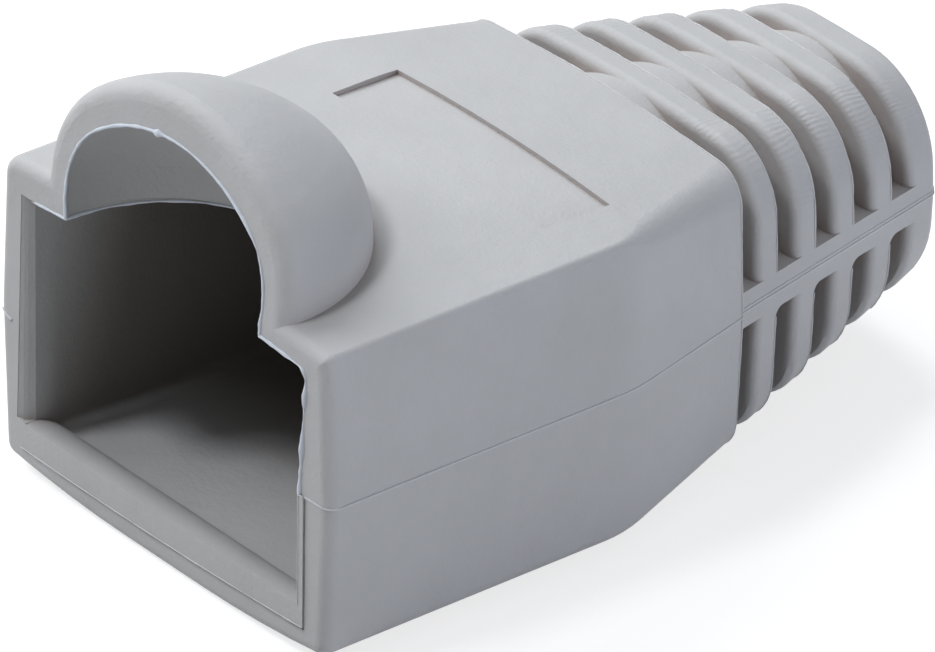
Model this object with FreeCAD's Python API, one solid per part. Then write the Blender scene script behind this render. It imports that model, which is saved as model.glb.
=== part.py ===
"""Strain relief boot for an 8P8C (RJ45) modular plug, moulded in one piece of soft plastic.

The boot is modelled along Y. The plug goes in at the mouth, at -Y, the cable leaves the ribbed
tail at +Y, and +Z is up. The origin lies under the middle of the boot's length, on the plane that
it stands on. All lengths are in millimetres. While it is built, Y is measured from the mouth.
"""
import FreeCAD, Part
import math
import os

V = FreeCAD.Vector

# ---- whole boot ----
parting_height = 4.92      # height of the mould's parting plane
side_draft = 0.046         # lean of the side walls per mm away from the parting plane
crown_radius = 58.5        # gentle crown of the top
overlap = 0.5              # how far joined pieces run into each other

# ---- underside: a flat strip to stand on, with a gentle crown on both sides of it ----
strip_half_width = 1.6
underside_crown_radius = 38.0

# ---- front housing: a straight sleeve over the plug ----
housing_length = 10.2
housing_half_width = 7.0
housing_top = 9.72
housing_top_corner = 0.55
housing_bottom_corner = 0.42
mouth_edge_radius = 0.35

# ---- shoulder: narrows from the housing to the tail ----
shoulder_length = 4.58
shoulder_half_width = 5.84
shoulder_top = 9.36
shoulder_bottom = 0.52
shoulder_top_corner = 1.02
shoulder_bottom_corner = 1.07
bend_length = 1.3          # length over which the walls bend from straight to tapered
bend_steps = 4

# ---- ribbed tail ----
rib_count = 4
rib_pitch = 1.605
slot_width = 0.775
rib_shoulder_radius = 0.32
rounding_steps = 3         # straight strips that make up the round edge of a rib
tail_front_half_width = 5.69
tail_front_top = 9.32
tail_front_bottom = 0.23
tail_front_top_corner = 1.89
tail_front_bottom_corner = 1.4
tail_end_half_width = 3.87
tail_end_top = 8.27
tail_end_bottom = 1.27
tail_end_top_corner = 2.7
tail_end_bottom_corner = 3.0
tail_end_edge_radius = 0.3
collar_length = 1.225      # last rib, which is longer than the others
core_depth = 0.1           # how far the core's crest lies below the top of the ribs
core_front_radius = 3.95
core_end_radius = 3.3
web_bottom = 4.42          # the webs that join the ribs, along both sides
web_top = 5.5
slot_corner_radius = 0.3   # round corner of a lower slot, behind each rib's rear edge

# ---- inside ----
cavity_half_width = 5.78
cavity_floor = 0.72
cavity_ceiling = 8.75
cavity_corner = 0.35
cavity_length = 10.3
funnel_radius = 3.85
funnel_length = 5.0
bore_diameter = 5.5
bore_height = 4.85

# ---- upper right corner of the mouth, trimmed a little wider than the left one ----
trim_left = 3.7
trim_widening = 0.25

# ---- lip left by the mould's core, standing a little proud of the mouth's face ----
lip_height = 0.05
lip_width = 0.2
lip_bottom = 0.78
lip_bottom_centre = -2.0   # the lip's lower edge bows a little, and is lowest left of the middle
lip_bottom_radius = 150.0

# ---- bead that holds the plug, across the floor of the mouth ----
bead_radius = 1.3
bead_axis_height = 0.33
bead_axis_setback = 0.13

# ---- hood over the plug's latch ----
hood_radius = 5.08
hood_setback = 0.5
hood_drum = 0.13           # height of its upright wall above the housing
hood_rise = 4.03           # height of its crest above the housing
hood_side_arc = 3.2        # radius of the dome's flank, above its drum
hood_room_foot_radius = 4.06
hood_room_radius = 4.13
hood_room_drum = 0.95      # height of its upright wall above the cavity's ceiling
hood_room_rise = 3.85      # height of its crest above the cavity's ceiling
hood_room_side_arc = 2.3
hood_lean = 7.5            # degrees that the hood's rim leans back
hood_rim_radius = 0.5

# ---- label recess on top ----
recess_left = -3.7
recess_right = 5.15
recess_front = 8.55
recess_length = 2.2
recess_depth = 0.13

# ---- lengths that follow from the sizes above ----
tail_front = housing_length + shoulder_length
overall_length = tail_front + rib_count * rib_pitch + slot_width + collar_length


def corner_points(half_width, crest, radius, parting, crown, flat, draft):
    """Tangent, middle and tangent point of the round corner between a crowned face and a side.

    Everything is in the section's plane, as (x, z). The face is flat up to x = flat and then
    follows an arc of radius crown. The drafted side passes through (half_width, parting).
    """
    slant = math.sqrt(1.0 + draft ** 2)
    crown_centre = crest - crown
    reach = crown - radius
    a = half_width - flat + draft * parting - radius * slant
    b = a * draft + crown_centre
    c = a ** 2 + crown_centre ** 2 - reach ** 2
    cz = (b + math.sqrt(b ** 2 - slant ** 2 * c)) / slant ** 2
    cx = a - draft * cz
    crown_normal = (cx / reach, (cz - crown_centre) / reach)
    side_normal = (1.0 / slant, draft / slant)
    middle = (crown_normal[0] + side_normal[0], crown_normal[1] + side_normal[1])
    length = math.hypot(*middle)
    middle = (middle[0] / length, middle[1] / length)
    centre = (flat + cx, cz)
    return [(centre[0] + radius * n[0], centre[1] + radius * n[1]) for n in (crown_normal, middle, side_normal)]


def underside(y, bottom, rear_corner, flat):
    """Edges of the lower face between its two corners: a flat strip and its crowned borders."""
    end = V(rear_corner[0], y, -rear_corner[1])
    start = V(-end.x, y, end.z)
    if not flat:
        return [Part.Arc(start, V(0, y, bottom), end).toShape()]
    halfway = (end.x - flat) / 2
    rise = underside_crown_radius - math.sqrt(underside_crown_radius ** 2 - halfway ** 2)
    return [
        Part.Arc(start, V(-flat - halfway, y, bottom + rise), V(-flat, y, bottom)).toShape(),
        Part.makeLine(V(-flat, y, bottom), V(flat, y, bottom)),
        Part.Arc(V(flat, y, bottom), V(flat + halfway, y, bottom + rise), end).toShape(),
    ]


def section(y, half_width, top, bottom, top_corner, bottom_corner, flat=0, draft=side_draft):
    """Closed outline of the boot at y: crowned above and below, with drafted sides."""
    crown = underside_crown_radius if flat else crown_radius
    upper = corner_points(half_width, top, top_corner, parting_height, crown_radius, 0, draft)
    lower = corner_points(half_width, -bottom, bottom_corner, -parting_height, crown, flat, draft)

    def above(i, side=1):
        return V(side * upper[i][0], y, upper[i][1])

    def below(i, side=1):
        return V(side * lower[i][0], y, -lower[i][1])

    def waist(side=1):
        return V(side * half_width, y, parting_height)

    edges = underside(y, bottom, lower[0], flat) + [
        Part.Arc(below(0), below(1), below(2)).toShape(),
        Part.makeLine(below(2), waist()),
        Part.makeLine(waist(), above(2)),
        Part.Arc(above(2), above(1), above(0)).toShape(),
        Part.Arc(above(0), V(0, y, top), above(0, -1)).toShape(),
        Part.Arc(above(0, -1), above(1, -1), above(2, -1)).toShape(),
        Part.makeLine(above(2, -1), waist(-1)),
        Part.makeLine(waist(-1), below(2, -1)),
        Part.Arc(below(2, -1), below(1, -1), below(0, -1)).toShape(),
    ]
    return Part.Wire(edges)


def edges_at(shape, y):
    """Edges of the shape that lie wholly in the plane at y."""
    return [e for e in shape.Edges if all(abs(p.y - y) < 1e-4 for p in e.discretize(5))]


def shoulder_section(y):
    """Outline of the housing and shoulder at y, with a soft bend between the two."""
    past_bend = y - (housing_length - bend_length / 2)
    travelled = min(max(past_bend, 0), bend_length) ** 2 / (2 * bend_length) + max(past_bend - bend_length, 0)
    share = travelled / shoulder_length

    def between(front, rear):
        return front + share * (rear - front)

    return section(
        y,
        between(housing_half_width, shoulder_half_width),
        between(housing_top, shoulder_top),
        between(0, shoulder_bottom),
        between(housing_top_corner, shoulder_top_corner),
        between(housing_bottom_corner, shoulder_bottom_corner),
        strip_half_width,
    )


def make_housing():
    """Sleeve and shoulder, with a rounded mouth edge and a soft bend between them."""
    bend_start = housing_length - bend_length / 2
    sleeve = Part.Face(shoulder_section(0)).extrude(V(0, bend_start, 0))
    sleeve = sleeve.makeFillet(mouth_edge_radius, edges_at(sleeve, 0))
    bend = [bend_start + bend_length * i / bend_steps for i in range(bend_steps + 1)]
    shoulder = Part.makeLoft([shoulder_section(y) for y in bend + [tail_front]], True, True)
    return sleeve.fuse(shoulder)


def tail_section(y, inset=0):
    """Outline of the tapering tail at y, drawn in by inset all round."""
    share = (y - tail_front) / (overall_length - tail_front)

    def between(front, end):
        return front + share * (end - front)

    return section(
        y,
        between(tail_front_half_width, tail_end_half_width) - inset,
        between(tail_front_top, tail_end_top) - inset,
        between(tail_front_bottom, tail_end_bottom) + inset,
        between(tail_front_top_corner, tail_end_top_corner) - inset,
        between(tail_front_bottom_corner, tail_end_bottom_corner) - inset,
    )


def rounding(radius):
    """Pairs of depth and inset along a quarter circle, from the end face to the side."""
    turns = [math.pi / 2 * i / rounding_steps for i in range(rounding_steps + 1)]
    return [(radius * (1 - math.cos(t)), radius * (1 - math.sin(t))) for t in turns]


def make_rib(front, rear):
    """One rib of the tail, with a rounded front shoulder and a sharp rear edge."""
    outlines = [tail_section(front + depth, inset) for depth, inset in rounding(rib_shoulder_radius)]
    return Part.makeLoft(outlines + [tail_section(rear)], True, True)


def make_collar(front):
    """Last rib, which is longer and rounded at both ends."""
    outlines = [tail_section(front + depth, inset) for depth, inset in rounding(rib_shoulder_radius)]
    end = [tail_section(overall_length - depth, inset) for depth, inset in rounding(tail_end_edge_radius)]
    return Part.makeLoft(outlines + end[::-1], True, True)


def make_core():
    """Tapering round core that carries the ribs, just below their crest at the top."""
    front_centre = tail_front_top - core_depth - core_front_radius
    end_centre = tail_end_top - core_depth - core_end_radius
    front = Part.makeCircle(core_front_radius, V(0, tail_front, front_centre), V(0, 1, 0))
    end = Part.makeCircle(core_end_radius, V(0, overall_length - overlap, end_centre), V(0, 1, 0))
    return Part.makeLoft([Part.Wire(front), Part.Wire(end)], True, True)


def slot_corner(slot_front):
    """Rounded corner between the rear face of a rib and the underside of the webs."""
    radius = slot_corner_radius
    low = V(-housing_half_width, slot_front - radius, web_bottom - radius)
    corner = Part.makeBox(2 * housing_half_width, 2 * radius, 2 * radius, low)
    hollow = Part.makeCylinder(radius, 2 * housing_half_width,
                               V(-housing_half_width, slot_front + radius, web_bottom - radius), V(1, 0, 0))
    return corner.cut(hollow)


def make_webs():
    """Webs that join the ribs along both sides, on the parting plane."""
    tail = Part.makeLoft([tail_section(tail_front), tail_section(overall_length - overlap)], True, True)
    slab = Part.makeBox(2 * housing_half_width, overall_length, web_top - web_bottom,
                        V(-housing_half_width, 0, web_bottom))
    corners = [slot_corner(tail_front + i * rib_pitch) for i in range(rib_count + 1)]
    return tail.common(slab.fuse(corners))


def make_tail():
    """Core, webs, ribs and the longer collar at the end."""
    pieces = [make_core(), make_webs()]
    for i in range(rib_count):
        rear = tail_front + (i + 1) * rib_pitch
        pieces.append(make_rib(rear - rib_pitch + slot_width, rear))
    return pieces + [make_collar(tail_front + rib_count * rib_pitch + slot_width)]


def dome(radius, setback, foot_radius, base, spring, top, side_arc):
    """Round dome on a short drum that stands on the plane at base.

    Its profile above the drum is a flank arc that runs on into a flatter arc over the top.
    """
    axis = V(0, setback, 0)
    height = top - spring
    top_arc = ((radius - side_arc) ** 2 + height ** 2 - side_arc ** 2) / (2 * (height - side_arc))
    steepness = math.atan2(top_arc - height, radius - side_arc)

    def on_flank(turn):
        return axis + V(radius - side_arc + side_arc * math.cos(turn), 0, spring + side_arc * math.sin(turn))

    def on_top(turn):
        return axis + V(top_arc * math.cos(turn), 0, top - top_arc + top_arc * math.sin(turn))

    profile = Part.Wire([
        Part.makeLine(axis + V(0, 0, base), axis + V(foot_radius, 0, base)),
        Part.makeLine(axis + V(foot_radius, 0, base), axis + V(radius, 0, spring)),
        Part.Arc(on_flank(0), on_flank(steepness / 2), on_flank(steepness)).toShape(),
        Part.Arc(on_top(steepness), on_top((steepness + math.pi / 2) / 2), on_top(math.pi / 2)).toShape(),
        Part.makeLine(axis + V(0, 0, top), axis + V(0, 0, base)),
    ])
    return Part.Face(profile).revolve(axis, V(0, 0, 1), 360)


def make_hood():
    """Outer form of the hood: a dome cut off by the leaning plane of its rim."""
    base = (cavity_ceiling + housing_top) / 2
    shell = dome(hood_radius, hood_setback, hood_radius, base,
                 housing_top + hood_drum, housing_top + hood_rise, hood_side_arc)
    keep = Part.makeBox(4 * hood_radius, 4 * hood_radius, 4 * hood_radius,
                        V(-2 * hood_radius, 0, base - 2 * hood_radius))
    leaning = keep.copy()
    leaning.rotate(V(0, 0, base), V(1, 0, 0), -hood_lean)
    shell = shell.common(keep).common(leaning)
    rim = [e for e in shell.Edges if is_rim(e, base)]
    return shell.makeFillet(hood_rim_radius, rim)


def is_rim(edge, base):
    """True for the edges where the hood's outer face meets its leaning rim."""
    slope = math.tan(math.radians(hood_lean))
    points = edge.discretize(7)
    on_plane = all(abs(p.y - slope * (p.z - base)) < 1e-3 for p in points)
    return on_plane and edge.BoundBox.ZLength > hood_rim_radius


def cavity_section(y):
    """Outline of the space for the plug at y."""
    return section(y, cavity_half_width, cavity_ceiling, cavity_floor, cavity_corner, cavity_corner, draft=0)


def make_cavity():
    """Space for the plug, the funnel behind it and the cable's bore."""
    axis = V(0, 1, 0)
    bore_radius = bore_diameter / 2
    funnel_end = cavity_length + funnel_length
    room = Part.Face(cavity_section(-overlap)).extrude(V(0, cavity_length + overlap, 0))
    funnel = Part.makeCone(funnel_radius, bore_radius, funnel_length, V(0, cavity_length, bore_height), axis)
    bore = Part.makeCylinder(bore_radius, overall_length, V(0, funnel_end, bore_height), axis)
    return room.fuse([funnel, bore])


def make_trim():
    """Slanting cut that widens the upper right corner of the mouth at its face."""
    lean = trim_widening / (cavity_ceiling - parting_height)
    outer = section(0, cavity_half_width, cavity_ceiling + trim_widening, cavity_floor,
                    cavity_corner, cavity_corner, draft=-lean)
    flare = Part.makeLoft([outer, cavity_section(trim_widening)], True, True)
    corner = Part.makeBox(housing_half_width, overlap, housing_top, V(trim_left, 0, parting_height))
    return flare.common(corner)


def make_lip():
    """Thin lip round the mouth: along the floor, up the whole left side and half of the right."""
    half_width = cavity_half_width + lip_width
    ceiling = cavity_ceiling - trim_widening
    lip = Part.makeBox(2 * half_width, overlap, parting_height - lip_bottom, V(-half_width, 0, lip_bottom))
    left = Part.makeBox(half_width, overlap, ceiling - lip_bottom, V(-half_width, 0, lip_bottom))
    lip = lip.fuse(left)
    lip.translate(V(0, -lip_height, 0))
    return lip.cut(Part.Face(cavity_section(-overlap)).extrude(V(0, 2 * overlap, 0))).common(lip_bow())


def lip_bow():
    """Space above the bowed lower edge of the lip."""
    return Part.makeCylinder(lip_bottom_radius, 2 * overlap + bead_radius,
                             V(lip_bottom_centre, -overlap, lip_bottom + lip_bottom_radius), V(0, 1, 0))


def make_bead():
    """Half-round bead across the floor of the mouth, flush with the front of the lip."""
    half_length = cavity_half_width + lip_width
    root = cavity_floor - lip_height
    bead = Part.makeCylinder(bead_radius, 2 * half_length, V(-half_length, bead_axis_setback, bead_axis_height),
                             V(1, 0, 0))
    keep = Part.makeBox(2 * half_length, 2 * bead_radius, 2 * bead_radius, V(-half_length, -lip_height, root))
    behind_face = Part.makeBox(2 * half_length, 2 * bead_radius, 2 * bead_radius, V(-half_length, 0, root))
    return bead.common(keep).common(lip_bow()).fuse(bead.common(behind_face))


def make_recess():
    """Shallow rectangular recess in the crown of the top."""
    crown = Part.makeCylinder(crown_radius - recess_depth, recess_length,
                              V(0, recess_front, housing_top - crown_radius), V(0, 1, 0))
    window = Part.makeBox(recess_right - recess_left, recess_length, housing_top,
                          V(recess_left, recess_front, housing_top / 2))
    return window.cut(crown)


def make_boot():
    """The whole boot as one solid."""
    solid = make_housing().fuse([make_hood()] + make_tail())
    hood_room = dome(hood_room_radius, 0, hood_room_foot_radius, cavity_ceiling - overlap,
                     cavity_ceiling + hood_room_drum, cavity_ceiling + hood_room_rise, hood_room_side_arc)
    solid = solid.cut(make_cavity()).cut(hood_room).cut(make_trim())
    solid = solid.fuse([make_lip(), make_bead()])
    solid = solid.cut(make_recess())
    solid = solid.removeSplitter()
    solid.translate(V(0, (lip_height - overall_length) / 2, 0))
    return solid


os.makedirs("parts", exist_ok=True)
boot = make_boot()
boot.exportStep("parts/boot.step")
print("boot", len(boot.Solids), "solid(s), valid:", boot.isValid(), "volume", round(boot.Volume, 1))
print("box", boot.BoundBox)
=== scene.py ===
"""Dressed scene of the RJ45 strain relief boot: soft grey PVC, mould lines and flash, studio."""
import math
import bmesh
import bpy
from mathutils import Matrix, Vector, kdtree, noise


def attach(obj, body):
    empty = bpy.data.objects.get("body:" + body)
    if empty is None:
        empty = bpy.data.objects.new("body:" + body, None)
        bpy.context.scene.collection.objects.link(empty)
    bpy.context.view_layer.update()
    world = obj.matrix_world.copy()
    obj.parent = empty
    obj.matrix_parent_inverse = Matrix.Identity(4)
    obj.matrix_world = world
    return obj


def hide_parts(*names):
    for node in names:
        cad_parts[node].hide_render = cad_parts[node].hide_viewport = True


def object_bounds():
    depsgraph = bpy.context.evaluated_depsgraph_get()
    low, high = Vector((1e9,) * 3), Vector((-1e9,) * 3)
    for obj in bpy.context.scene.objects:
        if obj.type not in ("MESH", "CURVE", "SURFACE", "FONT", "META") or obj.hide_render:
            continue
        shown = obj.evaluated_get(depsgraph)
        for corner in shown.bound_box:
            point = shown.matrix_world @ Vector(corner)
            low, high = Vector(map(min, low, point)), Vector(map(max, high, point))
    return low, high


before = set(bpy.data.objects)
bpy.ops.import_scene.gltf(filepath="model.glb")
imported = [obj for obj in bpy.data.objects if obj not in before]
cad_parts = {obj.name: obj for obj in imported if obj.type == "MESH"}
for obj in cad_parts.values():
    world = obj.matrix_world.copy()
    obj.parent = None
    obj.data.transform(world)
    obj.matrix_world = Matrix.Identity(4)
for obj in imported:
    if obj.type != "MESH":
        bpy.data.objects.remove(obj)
cad_low, cad_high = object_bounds()

MM = 0.001
LIP_HEIGHT = 0.05 * MM
MOUTH_Y = cad_low[1] + LIP_HEIGHT        # plane of the mouth's face

# ---- camera: azimuth from straight ahead of the mouth, elevation and roll in degrees ----
CAMERA_AZIMUTH = 50.7753
CAMERA_ELEVATION = 30.1356
CAMERA_ROLL = 0.7377
CAMERA_DISTANCE = 0.395782
CAMERA_TARGET = Vector((0.0, MOUTH_Y + 10 * MM, 4 * MM))
CAMERA_SENSOR = 36.0
CAMERA_LENS = 577.54                     # long, so that the far end looks almost as large as the near one
CAMERA_SHIFT = (0.0070973, -0.0105679)   # share of the picture's width
CAMERA_CLIP = (0.01, 10.0)               # nearest and farthest that it sees, in metres

# ---- the boot's own sizes, as in its source, measured from the mouth's face ----
PARTING_HEIGHT = 4.92 * MM
HOUSING_TOP = 9.72 * MM
HOUSING_LENGTH = 10.2 * MM
HOUSING_TOP_CORNER = 0.55 * MM
CROWN_RADIUS = 58.5 * MM
MOUTH_EDGE_RADIUS = 0.35 * MM
BEND_LENGTH = 1.3 * MM
BEND_START = MOUTH_Y + HOUSING_LENGTH - BEND_LENGTH / 2
BEND_END = MOUTH_Y + HOUSING_LENGTH + BEND_LENGTH / 2
RECESS_REAR = 10.75 * MM
CAVITY_HALF_WIDTH = 5.78 * MM
CAVITY_FLOOR = 0.72 * MM
CAVITY_CEILING = 8.75 * MM
CAVITY_LENGTH = 10.3 * MM
BORE_RADIUS = 2.75 * MM
TAIL_FRONT = 14.78 * MM
TAIL_END_EDGE_RADIUS = 0.3 * MM
RIB_COUNT = 4
RIB_PITCH = 1.605 * MM
RIB_SHOULDER_RADIUS = 0.32 * MM
SLOT_WIDTH = 0.775 * MM

# ---- how the mesh is read ----
CLOSE = 0.01 * MM                        # two heights or depths that are this close are the same
SAME_PLACE = 0.0004 * MM                 # and so are two points
SEW_DISTANCE = 0.0002 * MM
NEAR_COSINE = math.cos(math.radians(38.0))   # normals that are at least this near can belong to one face
END_FACE = 0.98                          # a face looks along the boot if its normal has this share of Y

# ---- crisp top edge on the right, and the recess's deeper rear ----
CORNER_FROM_X = 6 * MM                   # the corner lies beyond these two
CORNER_FROM_Z = 8 * MM
CORNER_POINTS = 11                       # points of the housing's section on each round corner
CORNER_MARGIN = 0.01                     # a point may lie past the corner's ends by this much in cosine
CRISP_RADIUS = 0.19 * MM
SMALLEST_RADIUS = 0.03 * MM
RECESS_REACH = 5.3 * MM                  # the recess lies within this distance of the middle
RECESS_LEVELS = (0.2 * MM, 0.1 * MM)     # and its floor between these depths below the top
RECESS_EXTRA_DEPTH = 0.05 * MM

# ---- groove along the left inner edge of the mouth ----
# outer edge and height of its two ends
GROOVE_ENDS = [(-6.2 * MM, 1.64 * MM), (-5.98 * MM, 8.5 * MM)]
# its profile, from the outer edge to the cavity's wall: share of its width, depth
GROOVE_PROFILE = [(0.4, 0.11 * MM), (0.5, 0.05 * MM), (0.7, 0.13 * MM), (1.0, 0.3 * MM)]
GROOVE_OUTER_DEPTH = 0.02 * MM
# how far the cutter reaches ahead of the mouth's face and into the cavity
GROOVE_FRONT = -0.2 * MM
GROOVE_PAST_WALL = 0.3 * MM

# ---- fine beads of burr, flash and ridge: radius, share by which the width wanders ----
RIB_BURR = (0.026 * MM, 0.6)
ARC_BURR = (0.034 * MM, 0.6)
LIP_BURR = (0.02 * MM, 0.5)
LIP_FOOT = (0.028 * MM, 0.3)
RIM_FLASH = (0.042 * MM, 0.6)
LEFT_FLASH = (0.035 * MM, 0.5)
RIGHT_FLASH = (0.05 * MM, 1.0)
PARTING_RIDGE = (0.03 * MM, 0.3)
SECOND_RIDGE = (0.018 * MM, 0.3)
LEFT_STEP = (0.04 * MM, 0.3)
BEAD_STEP = 0.06 * MM                    # spacing of a bead's points
BEAD_WAVES = (0.6 * MM, 0.25 * MM)       # lengths of its slow and quick wandering
BEAD_QUICK_SHARE = 0.5                   # strength of the quick one against the slow one
BEAD_THINNEST = 0.15                     # share of its radius
BEAD_ROUNDNESS = 2                       # how finely its round section is divided
SHORTEST_LINE = 0.3 * MM
SECOND_RIDGE_RISE = 0.11 * MM
LIP_FOOT_DROP = 0.05 * MM
# least angles, in degrees, of the edges that carry them
SHARP = 40.0
RIB_SHARP = 55.0
JAMB_SHARP = 20.0
# where they run
RIB_BURR_FROM = 3.4 * MM                 # farther than this from the tail's middle, across, up or down
CEILING_DROP = 0.3 * MM                  # the crowned ceiling's edges lie this much lower at most
HOOD_FLASH_REACH = 4.3 * MM              # the hood's flash lies within this distance of the middle
RIM_DROP = 0.2 * MM
RIM_DEPTH = 1 * MM
ARC_DEPTHS = (0.02 * MM, 4.3 * MM)
LEFT_FLASH_SPAN = (-5.7 * MM, -3.9 * MM)
RIGHT_FLASH_SPAN = (3.6 * MM, 6.3 * MM)
RIGHT_FLASH_TOP = 9.2 * MM
LIP_RIGHT = 5.7 * MM
LIP_LEFT_TOP = 1.2 * MM
LIP_FOOT_TOP = 1.1 * MM
PARTING_FROM = 0.3 * MM                  # where the left ridge starts
PARTING_SHORTEST = 2 * MM
PARTING_OFFSET = 0.001 * MM              # keeps the cutting plane off the source's own edges
CUT_DISTANCE = 0.00001 * MM
BORE_MARGIN = 0.9 * MM                   # behind the cavity, the outline is farther than this from the bore
# small step in the mouth's face at the left end of the parting plane: across, depth, height
STEP_AT_LEFT = [
    (-6.86 * MM, 0.07 * MM, 4.64 * MM),
    (-6.65 * MM, 0.0, 4.57 * MM),
    (-6.4 * MM, 0.0, 4.5 * MM),
]
# nicks and blobs of flash on the hood's rim and where its room meets the ceiling: place, swelling, reach
NICKS = [
    (Vector((-0.71 * MM, MOUTH_Y + 0.43 * MM, 12.54 * MM)), 2.0, 0.12 * MM),
    (Vector((3.0 * MM, MOUTH_Y + 0.36 * MM, 12.01 * MM)), 1.3, 0.2 * MM),
    (Vector((3.29 * MM, MOUTH_Y + 0.33 * MM, 11.74 * MM)), 1.0, 0.25 * MM),
    (Vector((-4.05 * MM, MOUTH_Y + 0.3 * MM, 8.6 * MM)), 0.5, 0.15 * MM),
    (Vector((5.9 * MM, MOUTH_Y, 7.78 * MM)), 0.7, 0.2 * MM),
    (Vector((5.8 * MM, MOUTH_Y, 6.2 * MM)), 0.6, 0.25 * MM),
]

# ---- PVC: colours ----
PVC_LIGHT = (0.458, 0.452, 0.444)
PVC_DARK = (0.436, 0.430, 0.421)
# painted shade deep inside the cavity
PVC_INSIDE_SHADE = (0.175, 0.157, 0.138)
# painted shade, warm-tinted, in corners, slots and hollows
PVC_CREVICE_SHADE = (0.42, 0.368, 0.34)
# burr beads: lighter than the PVC, a painted highlight along the edges
BURR_HIGHLIGHT_LIGHT = (0.545, 0.538, 0.527)
BURR_HIGHLIGHT_DARK = (0.49, 0.483, 0.472)
# parting ridge: lighter than the PVC, a painted highlight
RIDGE_HIGHLIGHT_LIGHT = (0.56, 0.56, 0.565)
RIDGE_HIGHLIGHT_DARK = (0.51, 0.51, 0.515)
# painted shadow: the dark line at the lip's foot
SHADOW_LIGHT = (0.20, 0.20, 0.205)
SHADOW_DARK = (0.16, 0.16, 0.165)
# flash beads: bluish white, a painted highlight along the edges
FLASH_HIGHLIGHT_LIGHT = (0.66, 0.70, 0.75)
FLASH_HIGHLIGHT_DARK = (0.57, 0.60, 0.65)

# ---- PVC: surface. Noise scales are per metre ----
PVC_ROUGHNESS = 0.6
PVC_SPECULAR = 0.3
CLOUD_SCALE = 350.0
CLOUD_DETAIL = 3.0
CLOUD_STOPS = (0.35, 0.65)
GRAIN_FINE_SCALE = 9000.0
GRAIN_FINE_DETAIL = 4.0
GRAIN_COARSE_SCALE = 1500.0
GRAIN_FINE_SHARE = 0.5
GRAIN_DEPTH = 0.028 * MM
CREVICE_SHADE_REACH = 0.95 * MM
CREVICE_SHADE_LEVELS = (0.2, 0.95)               # openness at which a place takes the full painted shade, and at which it takes none
CREVICE_SHADE_SAMPLES = 6
INSIDE_DEPTHS = (0.3 * MM, 5.0 * MM)     # depths at which the painted shade inside starts and is darkest
INSIDE_FLOOR_LEAD = 3.0 * MM             # the floor darkens this much deeper
INSIDE_WALL_SHARE = 0.3                  # the walls darken sooner lower down, by this share of the drop
INSIDE_WALL_START = (0.2 * MM, 1.2 * MM)     # depths over which that sets in
CHATTER_RADIUS = 4.4 * MM
CHATTER_PERIOD = 0.14 * MM
CHATTER_DEPTH = 0.0035 * MM
CHATTER_WOBBLE_SCALE = 900.0
CHATTER_WOBBLE = 14.0
CHATTER_PATCH_SCALE = 600.0
CHATTER_PATCHES = (0.3, 0.55)
CHATTER_FACING = (0.85, 0.99)            # it fades out on faces that look along the boot
CHATTER_HEIGHTS = (1.4 * MM, 2.4 * MM)   # it sets in above the parting plane
CHATTER_OFFSETS = (2.2 * MM, 3.0 * MM)   # and away from the middle

# ---- studio, in metres ----
FLOOR_HALF_SIZE = 1.2
FLOOR_GAP = 0.01 * MM
FLOOR_GLOW = 0.74
FLOOR_SEEN = (0.36, 0.36, 0.36, 1.0)     # takes the shadow that the camera sees
FLOOR_LIT = (0.62, 0.62, 0.62, 1.0)      # throws light back on the object
WHITE = (1.0, 1.0, 1.0, 1.0)
FILL = 0.2                               # strength of the light from all round
FILL_COLOUR = (0.95, 1.0, 1.08, 1.0)
# name, azimuth from straight ahead of the mouth, elevation, distance, side, power, colour
LAMPS = [
    ("key", -19.0, 62.0, 0.5, 0.08, 0.95, (0.97, 1.0, 1.06)),
    ("right", 116.0, 7.0, 0.5, 0.3, 1.24, (0.91, 0.97, 1.14)),
    ("left", -60.0, 30.0, 0.5, 0.3, 0.89, (0.98, 1.0, 1.04)),
    ("over", -105.0, 48.0, 0.5, 0.3, 1.8, (0.96, 1.0, 1.04)),
]


def add_object(name, data):
    """A new object in the scene."""
    added = bpy.data.objects.new(name, data)
    bpy.context.scene.collection.objects.link(added)
    return added


def direction(azimuth, elevation):
    """Unit vector at an azimuth from straight ahead of the mouth and at an elevation, in degrees."""
    a, e = math.radians(azimuth), math.radians(elevation)
    return Vector((math.sin(a) * math.cos(e), -math.cos(a) * math.cos(e), math.sin(e)))


def make_camera():
    """Camera at the photo's angle."""
    azimuth, roll = math.radians(CAMERA_AZIMUTH), math.radians(CAMERA_ROLL)
    level = Vector((math.cos(azimuth), math.sin(azimuth), 0.0))
    back = direction(CAMERA_AZIMUTH, CAMERA_ELEVATION)
    upright = back.cross(level)
    right = level * math.cos(roll) + upright * math.sin(roll)
    up = upright * math.cos(roll) - level * math.sin(roll)
    data = bpy.data.cameras.new("camera")
    data.sensor_fit = "HORIZONTAL"
    data.sensor_width = CAMERA_SENSOR
    data.lens = CAMERA_LENS
    data.shift_x, data.shift_y = CAMERA_SHIFT
    data.clip_start, data.clip_end = CAMERA_CLIP
    camera = add_object("camera", data)
    place = Matrix((right, up, back)).transposed().to_4x4()
    place.translation = CAMERA_TARGET + CAMERA_DISTANCE * back
    camera.matrix_world = place
    bpy.context.scene.camera = camera


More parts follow.
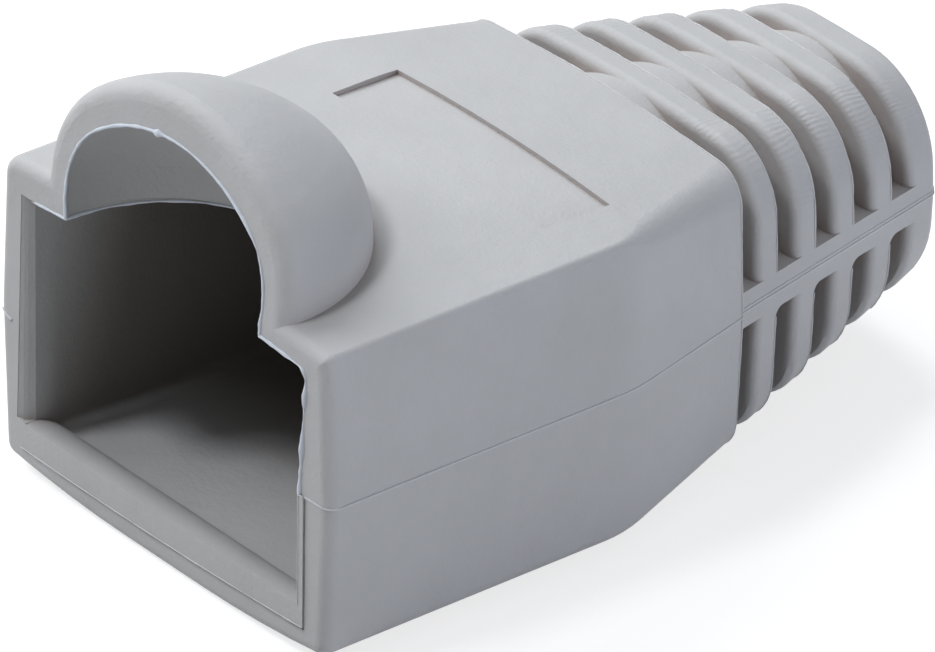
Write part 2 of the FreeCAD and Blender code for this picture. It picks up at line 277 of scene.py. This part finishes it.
class Nodes:
    """Short way to build a material's node tree."""

    def __init__(self, tree):
        self.tree = tree
        tree.nodes.clear()

    def add(self, kind, inputs=None, **settings):
        """A new node with its settings. Each input is a value or another node's output."""
        node = self.tree.nodes.new(kind)
        for name, value in settings.items():
            setattr(node, name, value)
        for name, value in (inputs or {}).items():
            if isinstance(value, bpy.types.NodeSocket):
                self.tree.links.new(value, node.inputs[name])
            else:
                node.inputs[name].default_value = value
        return node

    def math(self, operation, a, b=0.0):
        """Result of one operation on one or two values."""
        return self.add("ShaderNodeMath", {0: a, 1: b}, operation=operation).outputs[0]

    def product(self, first, *others):
        """All the values multiplied together."""
        for value in others:
            first = self.math("MULTIPLY", first, value)
        return first

    def step(self, value, low, high, start=0.0, end=1.0):
        """Smooth step of value from start at low to end at high."""
        inputs = {"Value": value, "From Min": low, "From Max": high, "To Min": start, "To Max": end}
        return self.add("ShaderNodeMapRange", inputs, interpolation_type="SMOOTHSTEP").outputs["Result"]

    def noise(self, place, scale, detail=2.0):
        """Noise about one half."""
        inputs = {"Vector": place, "Scale": scale, "Detail": detail}
        return self.add("ShaderNodeTexNoise", inputs).outputs["Fac"]

    def openness(self, reach, samples):
        """1 on open surface, less in corners and hollows of about the reach."""
        node = self.add("ShaderNodeAmbientOcclusion", {"Distance": reach}, samples=samples, only_local=True)
        return node.outputs["AO"]

    def blend(self, factor, a, b):
        """Colour a where the factor is 0, b where it is 1."""
        inputs = {"Factor": factor, "A": a, "B": b}
        return self.add("ShaderNodeMix", inputs, data_type="RGBA").outputs["Result"]

    def ramp(self, value, stops):
        """Colour by value, between two stops of a position and a colour."""
        node = self.add("ShaderNodeValToRGB", {"Fac": value})
        for element, (position, colour) in zip(node.color_ramp.elements, stops):
            element.position = position
            element.color = (*colour, 1.0)
        return node.outputs["Color"]

    def any_ray(self, *kinds):
        """1 for rays of these kinds and 0 for all others."""
        rays = self.add("ShaderNodeLightPath")
        found = 0.0
        for kind in kinds:
            found = self.math("MAXIMUM", found, rays.outputs[f"Is {kind} Ray"])
        return found


def pvc_material(name, light, dark, with_detail):
    """Matte grey PVC: a fine moulded grain and a faint cloudiness, and with_detail also painted shade in
    hollows and deep inside, and chatter.
    """
    material = bpy.data.materials.new(name)
    material.use_nodes = True
    n = Nodes(material.node_tree)
    geometry = n.add("ShaderNodeNewGeometry")
    place = geometry.outputs["Position"]
    colour = n.ramp(n.noise(place, CLOUD_SCALE, CLOUD_DETAIL), list(zip(CLOUD_STOPS, (dark, light))))
    fine = n.math("MULTIPLY", n.noise(place, GRAIN_FINE_SCALE, GRAIN_FINE_DETAIL), GRAIN_FINE_SHARE)
    height = n.math("MULTIPLY", n.math("ADD", fine, n.noise(place, GRAIN_COARSE_SCALE)), GRAIN_DEPTH)
    if with_detail:
        # painted shade: warmer and darker in corners, slots and hollows
        unshaded = n.step(n.openness(CREVICE_SHADE_REACH, CREVICE_SHADE_SAMPLES), *CREVICE_SHADE_LEVELS)
        colour = n.blend(unshaded, (*PVC_CREVICE_SHADE, 1.0), colour)
        # painted shade: the colour darkens deep in the cavity
        colour = n.blend(painted_inside_shade(n, geometry), colour, (*PVC_INSIDE_SHADE, 1.0))
        height = n.math("ADD", height, chatter_height(n, geometry))
    bump = n.add("ShaderNodeBump", {"Height": height, "Strength": 1.0, "Distance": 1.0})
    shader = n.add("ShaderNodeBsdfPrincipled", {
        "Base Color": colour,
        "Roughness": PVC_ROUGHNESS,
        "Specular IOR Level": PVC_SPECULAR,
        "Normal": bump.outputs["Normal"],
    })
    n.add("ShaderNodeOutputMaterial", {"Surface": shader.outputs[0]})
    return material


def painted_inside_shade(n, geometry):
    """0 outside the boot and at the mouth, 1 deep in the cavity, where the colour is darkened as painted
    shade.
    """
    place = n.add("ShaderNodeSeparateXYZ", {0: geometry.outputs["Position"]})
    facing = n.add("ShaderNodeSeparateXYZ", {0: geometry.outputs["Normal"]})
    depth = n.math("SUBTRACT", place.outputs["Y"], MOUTH_Y)
    on_floor = n.math("MULTIPLY", n.math("MAXIMUM", facing.outputs["Z"], 0.0), INSIDE_FLOOR_LEAD)
    drop = n.math("MULTIPLY", n.math("SUBTRACT", CAVITY_CEILING, place.outputs["Z"]), INSIDE_WALL_SHARE)
    upright = n.math("SUBTRACT", 1.0, n.math("ABSOLUTE", facing.outputs["Z"]))
    on_wall = n.product(drop, upright, n.step(depth, *INSIDE_WALL_START))
    reach = n.math("ADD", n.math("SUBTRACT", depth, on_floor), on_wall)
    across = n.math("LESS_THAN", n.math("ABSOLUTE", place.outputs["X"]), CAVITY_HALF_WIDTH + CLOSE)
    above = n.math("GREATER_THAN", place.outputs["Z"], CAVITY_FLOOR - CLOSE)
    below = n.math("LESS_THAN", place.outputs["Z"], CAVITY_CEILING + CLOSE)
    ahead = n.math("LESS_THAN", depth, CAVITY_LENGTH + CLOSE)
    return n.product(across, above, below, ahead, n.step(reach, *INSIDE_DEPTHS))


def chatter_height(n, geometry):
    """Soft short ridges across the ribs, at their upper corners."""
    place = n.add("ShaderNodeSeparateXYZ", {0: geometry.outputs["Position"]})
    facing = n.add("ShaderNodeSeparateXYZ", {0: geometry.outputs["True Normal"]})
    x = n.math("ABSOLUTE", place.outputs["X"])
    z = n.math("SUBTRACT", place.outputs["Z"], PARTING_HEIGHT)
    along = n.math("MULTIPLY", n.math("ARCTAN2", z, x), CHATTER_RADIUS * 2 * math.pi / CHATTER_PERIOD)
    wobble = n.math("MULTIPLY", n.noise(geometry.outputs["Position"], CHATTER_WOBBLE_SCALE), CHATTER_WOBBLE)
    wave = n.math("SINE", n.math("ADD", along, wobble))
    outward = n.step(n.math("ABSOLUTE", facing.outputs["Y"]), *CHATTER_FACING, 1.0, 0.0)
    upper = n.product(n.step(z, *CHATTER_HEIGHTS), n.step(x, *CHATTER_OFFSETS))
    on_tail = n.math("GREATER_THAN", place.outputs["Y"], MOUTH_Y + TAIL_FRONT)
    patchy = n.step(n.noise(geometry.outputs["Position"], CHATTER_PATCH_SCALE), *CHATTER_PATCHES)
    return n.product(wave, n.product(outward, upper, on_tail, patchy), CHATTER_DEPTH)


def add_piece(name, mesh, material):
    """Add a mesh as a piece of the boot that rides on its body."""
    piece = add_object(name, mesh)
    mesh.materials.clear()
    mesh.materials.append(material)
    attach(piece, "root")
    return piece


def baked_mesh(maker):
    """The mesh that an object shows. The object itself is removed."""
    mesh = bpy.data.meshes.new_from_object(maker.evaluated_get(bpy.context.evaluated_depsgraph_get()))
    bpy.data.objects.remove(maker)
    return mesh


def sewn_mesh(node):
    """The boot's mesh with its faces sewn together."""
    sewn = bmesh.new()
    sewn.from_mesh(node.data)
    bmesh.ops.remove_doubles(sewn, verts=sewn.verts, dist=SEW_DISTANCE)
    return sewn


def strip_zones():
    """Stretches along Y where straight strips stand for a rounding or a soft bend."""
    fronts = [MOUTH_Y + TAIL_FRONT + i * RIB_PITCH + SLOT_WIDTH for i in range(RIB_COUNT + 1)]
    zones = [(front, front + RIB_SHOULDER_RADIUS) for front in fronts]
    zones.append((cad_high[1] - TAIL_END_EDGE_RADIUS, cad_high[1]))
    zones.append((BEND_START, BEND_END))
    return [(low - CLOSE, high + CLOSE) for low, high in zones]


def tighten_corner(sewn):
    """Give the housing's right top edge a smaller rounding. Gives each moved point's old and new places."""
    rings = {}
    for vert in sewn.verts:
        if vert.co.y < BEND_END + CLOSE and vert.co.z > CORNER_FROM_Z and vert.co.x > CORNER_FROM_X:
            y = max(vert.co.y, MOUTH_Y + MOUTH_EDGE_RADIUS)
            rings.setdefault(round(y / CLOSE), []).append(vert)
    return [change for ring in rings.values() for change in tighten_ring(ring)]


def tighten_ring(ring):
    """Tighten the corner of one ring of points. The first ring also holds the mouth's rounded edge."""
    rearmost = max(v.co.y for v in ring)
    arc = sorted((v for v in ring if v.co.y > rearmost - CLOSE), key=lambda v: -v.co.x)
    if len(arc) < CORNER_POINTS:
        return []
    start, end = arc[CORNER_POINTS - 1].co.copy(), arc[0].co.copy()
    chord = end - start
    across = Vector((-chord.z, 0, chord.x)).normalized()
    centre = (start + end) / 2 - across * math.sqrt(HOUSING_TOP_CORNER ** 2 - chord.length_squared / 4)
    top, outer = (start - centre).normalized(), (end - centre).normalized()
    corner = (top + outer) / (1 + top.dot(outer))
    meeting = centre + corner * HOUSING_TOP_CORNER
    through_bend = min(max((rearmost - BEND_END) / BEND_LENGTH + 1, 0.0), 1.0)
    wanted = CRISP_RADIUS + (HOUSING_TOP_CORNER - CRISP_RADIUS) * through_bend ** 2
    middle = corner.normalized()
    changes = []
    for vert in ring:
        reach = Vector((vert.co.x - centre.x, 0, vert.co.z - centre.z))
        if reach.length < CLOSE or reach.normalized().dot(middle) < top.dot(middle) - CORNER_MARGIN:
            continue
        depth = HOUSING_TOP_CORNER - reach.length
        radius = max(wanted - depth, SMALLEST_RADIUS)
        place = meeting - corner * (depth + radius) + reach.normalized() * radius
        old = vert.co.copy()
        vert.co = Vector((place.x, old.y, place.z))
        changes.append((old, vert.co.copy()))
    return changes


def deepen_recess(sewn):
    """Sink the rear of the recess's floor. Gives each moved point's old and new places."""
    deepest, shallowest = RECESS_LEVELS
    changes = []
    for vert in sewn.verts:
        crown_drop = vert.co.x ** 2 / (2 * CROWN_RADIUS)
        level = vert.co.z + crown_drop
        at_rear = abs(vert.co.y - MOUTH_Y - RECESS_REAR) < CLOSE and abs(vert.co.x) < RECESS_REACH
        if at_rear and HOUSING_TOP - deepest < level < HOUSING_TOP - shallowest:
            old = vert.co.copy()
            vert.co.z -= RECESS_EXTRA_DEPTH
            changes.append((old, vert.co.copy()))
    return changes


def groove_cutter():
    """Shape of the groove that runs up the left inner edge of the mouth's face."""
    mesh = bpy.data.meshes.new("cutter")
    wall = -CAVITY_HALF_WIDTH
    past_wall = wall + GROOVE_PAST_WALL
    points = []
    for outer, z in GROOVE_ENDS:
        width = wall - outer
        profile = [(outer, GROOVE_FRONT), (outer, GROOVE_OUTER_DEPTH)]
        profile += [(outer + share * width, depth) for share, depth in GROOVE_PROFILE]
        profile += [(past_wall, profile[-1][1]), (past_wall, GROOVE_FRONT)]
        points += [(x, MOUTH_Y + y, z) for x, y in profile]
    count = len(points) // 2
    sides = [(i, (i + 1) % count, (i + 1) % count + count, i + count) for i in range(count)]
    mesh.from_pydata(points, [], sides + [tuple(range(count))[::-1], tuple(range(count, 2 * count))])
    turn = bmesh.new()
    turn.from_mesh(mesh)
    bmesh.ops.recalc_face_normals(turn, faces=turn.faces)
    turn.to_mesh(mesh)
    turn.free()
    return add_object("cutter", mesh)


def cut_mesh(mesh, cutter):
    """The mesh with the cutter's shape taken out of it."""
    uncut = add_object("uncut", mesh)
    step = uncut.modifiers.new("cut", "BOOLEAN")
    step.operation = "DIFFERENCE"
    step.solver = "EXACT"
    step.object = cutter
    result = baked_mesh(uncut)
    bpy.data.objects.remove(cutter)
    return result


def is_strip(mesh, polygon, zones):
    """True for a straight strip that stands for a piece of a rounding or a bend."""
    places = [mesh.vertices[i].co.y for i in polygon.vertices]
    inside = any(all(low < y < high for y in places) for low, high in zones)
    return inside and abs(polygon.normal.y) < END_FACE


def set_normals(mesh, source, moved):
    """Give a mesh the true normals of the CAD surface, running on smoothly over the strips."""
    zones = strip_zones()
    old_places = kdtree.KDTree(len(moved))
    for k, (old, _) in enumerate(moved):
        old_places.insert(old, k)
    old_places.balance()
    known = [[] for _ in source.vertices]
    tree = kdtree.KDTree(len(source.vertices))
    for i, vertex in enumerate(source.vertices):
        _, k, gap = old_places.find(vertex.co)
        tree.insert(moved[k][1] if gap < SAME_PLACE else vertex.co, i)
    tree.balance()
    corner_normals = source.corner_normals
    for polygon in source.polygons:
        strip = is_strip(source, polygon, zones)
        for i in polygon.loop_indices:
            known[source.loops[i].vertex_index].append((corner_normals[i].vector.copy(), strip))
    normals = []
    for polygon in mesh.polygons:
        polygon.use_smooth = True
        strip = is_strip(mesh, polygon, zones)
        for i in polygon.loop_indices:
            place = mesh.vertices[mesh.loops[i].vertex_index].co
            here = [c for _, j, _ in tree.find_range(place, SAME_PLACE) for c in known[j]]
            normals.append(best_normal(polygon.normal, strip, here))
    mesh.normals_split_custom_set(normals)


def best_normal(facing, strip, here):
    """The CAD normal at a corner that suits a face, or the face's own where there is none."""
    same_kind = [n for n, is_on_strip in here if is_on_strip == strip and n.dot(facing) > NEAR_COSINE]
    if not same_kind:
        return facing.copy()
    own = max(same_kind, key=facing.dot)
    if not strip:
        return own
    near = [(n, is_on_strip) for n, is_on_strip in here if n.dot(own) > NEAR_COSINE]
    firm = [n for n, is_on_strip in near if not is_on_strip] or [n for n, _ in near]
    distinct = {tuple(round(c, 2) for c in n): n for n in firm}
    return sum(distinct.values(), Vector()).normalized()


def make_skin(node, sewn, material):
    """The boot's visible surface, with its small changes of form and smooth shading over the round ones."""
    shaped = sewn.copy()
    moved = tighten_corner(shaped) + deepen_recess(shaped)
    whole = bpy.data.meshes.new("boot_whole")
    shaped.to_mesh(whole)
    shaped.free()
    mesh = cut_mesh(whole, groove_cutter())
    mesh.name = "boot_skin"
    set_normals(mesh, node.data, moved)
    skin = add_piece("boot_skin", mesh, material)
    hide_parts("boot")


def chains(edges):
    """Join edges end to end into lists of points."""
    links = {}
    for edge in edges:
        for vert in edge.verts:
            links.setdefault(vert, []).append(edge)
    unused = set(edges)
    found = []
    starts = [v for v in links if len(links[v]) != 2] + list(links)
    for start in starts:
        for first in links[start]:
            if first not in unused:
                continue
            unused.discard(first)
            here = first.other_vert(start)
            line = [start, here]
            while len(links[here]) == 2:
                following = [e for e in links[here] if e in unused]
                if not following:
                    break
                unused.discard(following[0])
                here = following[0].other_vert(here)
                line.append(here)
            found.append([v.co.copy() for v in line])
    return found


def resampled(points, step):
    """The same line with points at an even spacing."""
    even = [points[0]]
    left = step
    for a, b in zip(points, points[1:]):
        length = (b - a).length
        while left < length:
            even.append(a.lerp(b, left / length))
            left += step
        left -= length
    return even + [points[-1]]


def bead_width(point, ragged):
    """Share of a bead's radius at a point: it wanders by the share ragged and swells at the nicks."""
    slow, quick = BEAD_WAVES
    width = 1.0 + ragged * (noise.noise(point / slow) + BEAD_QUICK_SHARE * noise.noise(point / quick))
    for place, times, reach in NICKS:
        width += times * math.exp(-(((point - place).length / reach) ** 2))
    return max(width, BEAD_THINNEST)


def add_beads(name, lines, size, material):
    """Piece made of a fine bead along each line. Its size is a radius and how ragged it is."""
    radius, ragged = size
    curve = bpy.data.curves.new(name, "CURVE")
    curve.dimensions = "3D"
    curve.bevel_depth = radius
    curve.bevel_resolution = BEAD_ROUNDNESS
    curve.use_fill_caps = True
    for line in lines:
        points = resampled(line, BEAD_STEP)
        spline = curve.splines.new("POLY")
        spline.points.add(len(points) - 1)
        for spot, point in zip(spline.points, points):
            spot.co = (*point, 1.0)
            spot.radius = bead_width(point, ragged)
    mesh = baked_mesh(add_object(name, curve))
    mesh.name = name
    for polygon in mesh.polygons:
        polygon.use_smooth = True
    add_piece(name, mesh, material)


def length_of(points):
    """Length of a line."""
    return sum((b - a).length for a, b in zip(points, points[1:]))


def lines_where(sewn, sharpness, wanted):
    """Chains of the outward edges that are sharper than an angle and whose ends are both wanted."""
    limit = math.radians(sharpness)
    edges = [
        e for e in sewn.edges
        if e.is_manifold and e.calc_face_angle_signed(0.0) > limit and all(wanted(v.co) for v in e.verts)
    ]
    return [line for line in chains(edges) if length_of(line) > SHORTEST_LINE]


def make_rib_burr(sewn, material):
    """Burr on the rear edges of the shoulder and of the ribs, lighter than the PVC as a painted highlight."""
    rears = [MOUTH_Y + TAIL_FRONT + i * RIB_PITCH for i in range(RIB_COUNT + 1)]

    def wanted(p):
        off_core = max(abs(p.x), abs(p.z - PARTING_HEIGHT)) > RIB_BURR_FROM
        return off_core and any(abs(p.y - y) < CLOSE for y in rears)

    add_beads("rib_burr", lines_where(sewn, RIB_SHARP, wanted), RIB_BURR, material)


def at_ceiling(p):
    """True on the cavity's crowned ceiling."""
    return CAVITY_CEILING - CEILING_DROP < p.z < CAVITY_CEILING + CLOSE


def make_arc_burr(sewn, material):
    """Flash where the hood's room meets the cavity's ceiling, coloured bluish-white as a painted highlight.
    """
    front, rear = ARC_DEPTHS

    def wanted(p):
        return at_ceiling(p) and MOUTH_Y + front < p.y < MOUTH_Y + rear and abs(p.x) < HOOD_FLASH_REACH

    add_beads("ceiling_arc_burr", lines_where(sewn, SHARP, wanted), ARC_BURR, material)


def make_lip(sewn, burr_highlight, shadow):
    """Burr on the lip's front edge, lighter than the PVC as a painted highlight, and the dark line of painted
    shadow at its foot.
    """

    def on_lip(p):
        return abs(p.y - cad_low[1]) < CLOSE and (p.x > LIP_RIGHT or p.z < LIP_LEFT_TOP)

    def at_bottom(p):
        return on_lip(p) and p.z < LIP_FOOT_TOP

    add_beads("lip_burr", lines_where(sewn, SHARP, on_lip), LIP_BURR, burr_highlight)
    # painted shadow line just below the lip's lower edge
    below = Vector((0, LIP_HEIGHT, -LIP_FOOT_DROP))
    foot = [[p + below for p in line] for line in lines_where(sewn, SHARP, at_bottom)]
    add_beads("lip_foot", foot, LIP_FOOT, shadow)


def make_hood_flash(sewn, material):
    """Flash on the inner edge of the hood's rim, coloured bluish-white as a painted highlight."""

    def wanted(p):
        return p.z > CAVITY_CEILING - RIM_DROP and p.y < MOUTH_Y + RIM_DEPTH and abs(p.x) < HOOD_FLASH_REACH

    add_beads("hood_rim_flash", lines_where(sewn, SHARP, wanted), RIM_FLASH, material)


def make_mouth_flash(sewn, material):
    """Flash on the mouth's inner edges, left of the hood at the top and on the right, coloured bluish-white
    as a painted highlight.
    """
    left_from, left_to = LEFT_FLASH_SPAN
    right_from, right_to = RIGHT_FLASH_SPAN

    def on_face(p):
        return abs(p.y - MOUTH_Y) < CLOSE

    def on_left(p):
        return at_ceiling(p) and on_face(p) and left_from < p.x < left_to

    def on_right(p):
        return on_face(p) and right_from < p.x < right_to and PARTING_HEIGHT < p.z < RIGHT_FLASH_TOP

    add_beads("mouth_left_flash", lines_where(sewn, SHARP, on_left), LEFT_FLASH, material)
    add_beads("mouth_right_flash", lines_where(sewn, JAMB_SHARP, on_right), RIGHT_FLASH, material)


def parting_lines(sewn):
    """Outline of both halves of the boot at the parting plane, from the mouth to the tail's end."""
    copy = sewn.copy()
    cut = bmesh.ops.bisect_plane(
        copy, geom=copy.verts[:] + copy.edges[:] + copy.faces[:], dist=CUT_DISTANCE,
        plane_co=(0.0, 0.0, PARTING_HEIGHT + PARTING_OFFSET), plane_no=(0.0, 0.0, 1.0),
    )
    edges = [e for e in cut["geom_cut"] if isinstance(e, bmesh.types.BMEdge)]

    def outside(vert):
        y = vert.co.y - MOUTH_Y
        if y < PARTING_FROM and vert.co.x < 0.0 or vert.co.y > cad_high[1] - CLOSE:
            return False
        inner = CAVITY_HALF_WIDTH if y < CAVITY_LENGTH else BORE_RADIUS + BORE_MARGIN
        return abs(vert.co.x) > inner + CLOSE

    kept = [e for e in edges if all(outside(v) for v in e.verts)]
    lines = [line for line in chains(kept) if length_of(line) > PARTING_SHORTEST]
    copy.free()
    return lines


def make_parting(sewn, material):
    """Ridge at the mould's parting plane, doubled along the webs of the tail, lighter than the PVC as a
    painted highlight.
    """
    lines = parting_lines(sewn)
    rise = Vector((0, 0, SECOND_RIDGE_RISE))
    web = [[p + rise for p in line if p.y > MOUTH_Y + TAIL_FRONT] for line in lines]
    step = [Vector((x, MOUTH_Y + y, z)) for x, y, z in STEP_AT_LEFT]
    add_beads("parting_line", lines, PARTING_RIDGE, material)
    add_beads("parting_double", [line for line in web if len(line) > 1], SECOND_RIDGE, material)
    add_beads("parting_step", [step], LEFT_STEP, material)


def make_floor():
    """White floor that shows the camera a soft shadow."""
    mesh = bpy.data.meshes.new("floor")
    corners = [(-1, -1), (1, -1), (1, 1), (-1, 1)]
    mesh.from_pydata([(x * FLOOR_HALF_SIZE, y * FLOOR_HALF_SIZE, 0) for x, y in corners], [], [(0, 1, 2, 3)])
    floor = add_object("floor", mesh)
    floor.location.z = cad_low[2] - FLOOR_GAP
    material = bpy.data.materials.new("floor")
    material.use_nodes = True
    n = Nodes(material.node_tree)
    lift = n.add("ShaderNodeEmission", {"Color": WHITE, "Strength": FLOOR_GLOW})
    shade = n.add("ShaderNodeBsdfDiffuse", {"Color": FLOOR_SEEN})
    paper = n.add("ShaderNodeBsdfDiffuse", {"Color": FLOOR_LIT})
    both = n.add("ShaderNodeAddShader", {0: lift.outputs[0], 1: shade.outputs[0]})
    seen = n.any_ray("Camera", "Transmission", "Glossy")
    mix = n.add("ShaderNodeMixShader", {"Fac": seen, 1: paper.outputs[0], 2: both.outputs[0]})
    n.add("ShaderNodeOutputMaterial", {"Surface": mix.outputs[0]})
    mesh.materials.append(material)


def make_world():
    """White world for the camera, and a dim one that lights the boot."""
    world = bpy.data.worlds.new("studio")
    world.use_nodes = True
    bpy.context.scene.world = world
    n = Nodes(world.node_tree)
    backdrop = n.add("ShaderNodeBackground", {"Color": WHITE, "Strength": 1.0})
    fill = n.add("ShaderNodeBackground", {"Color": FILL_COLOUR, "Strength": FILL})
    seen = n.any_ray("Camera", "Transmission")
    mix = n.add("ShaderNodeMixShader", {"Fac": seen, 1: fill.outputs[0], 2: backdrop.outputs[0]})
    n.add("ShaderNodeOutputWorld", {"Surface": mix.outputs[0]})


def make_lamps():
    """Soft lamps that all shine at the frame's origin."""
    for name, azimuth, elevation, distance, side, power, colour in LAMPS:
        data = bpy.data.lights.new(name, "AREA")
        data.size = side
        data.energy = power
        data.color = colour
        lamp = add_object(name, data)
        towards = direction(azimuth, elevation)
        lamp.location = towards * distance
        lamp.rotation_euler = towards.to_track_quat("Z", "Y").to_euler()


make_camera()
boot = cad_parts["boot"]
pvc = pvc_material("pvc", PVC_LIGHT, PVC_DARK, True)
burr_highlight = pvc_material("pvc_burr_highlight", BURR_HIGHLIGHT_LIGHT, BURR_HIGHLIGHT_DARK, False)
flash_highlight = pvc_material("pvc_flash_highlight", FLASH_HIGHLIGHT_LIGHT, FLASH_HIGHLIGHT_DARK, False)
ridge_highlight = pvc_material("pvc_ridge_highlight", RIDGE_HIGHLIGHT_LIGHT, RIDGE_HIGHLIGHT_DARK, False)
shadow = pvc_material("pvc_shadow", SHADOW_LIGHT, SHADOW_DARK, False)
for material_slot in boot.material_slots:
    material_slot.material = pvc
sewn = sewn_mesh(boot)
make_skin(boot, sewn, pvc)
make_rib_burr(sewn, burr_highlight)
make_arc_burr(sewn, flash_highlight)
make_lip(sewn, burr_highlight, shadow)
make_hood_flash(sewn, flash_highlight)
make_mouth_flash(sewn, flash_highlight)
make_parting(sewn, ridge_highlight)
make_floor()
make_world()
make_lamps()

bpy.context.scene.view_settings.view_transform = "Standard"
